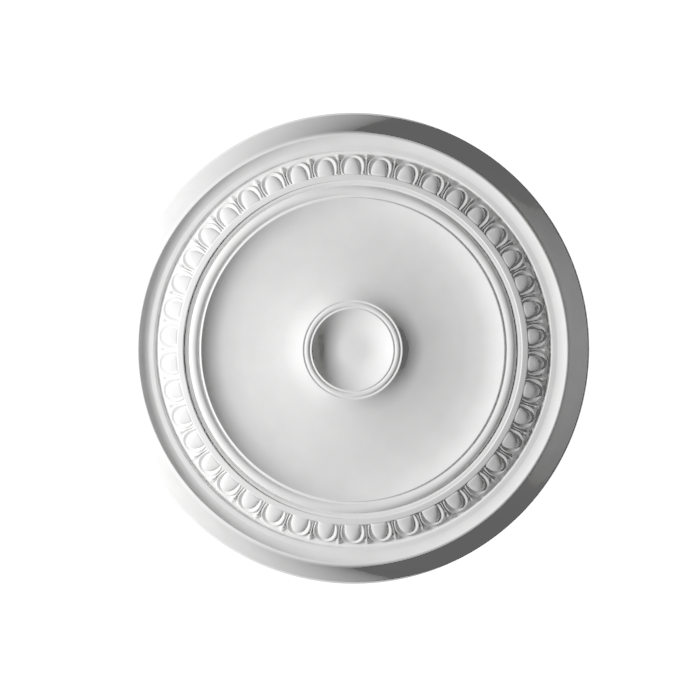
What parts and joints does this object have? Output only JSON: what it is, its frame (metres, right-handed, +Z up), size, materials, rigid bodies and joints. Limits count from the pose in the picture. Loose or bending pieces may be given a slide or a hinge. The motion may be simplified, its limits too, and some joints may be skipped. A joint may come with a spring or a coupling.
{
  "type": "ceiling rose",
  "caption": "Round moulded ceiling rose with a flat back, a coved rim, an egg-and-dart band, a smooth hollowed field and a dished centre boss for a pendant lamp.",
  "frame": {"origin": "centre of the flat back, in the plane of the ceiling that it is fixed to", "axes": "+Z up into the ceiling, so the carved face looks down along -Z; one egg of the band is centred on -Y"},
  "size_m": [0.62, 0.62, 0.0636],
  "materials": {
    "moulded_white": "matte white primed moulding, fine grain"
  },
  "bodies": {
    "root": {"ceiling_rose": "moulded_white"}
  },
  "joints": []
}
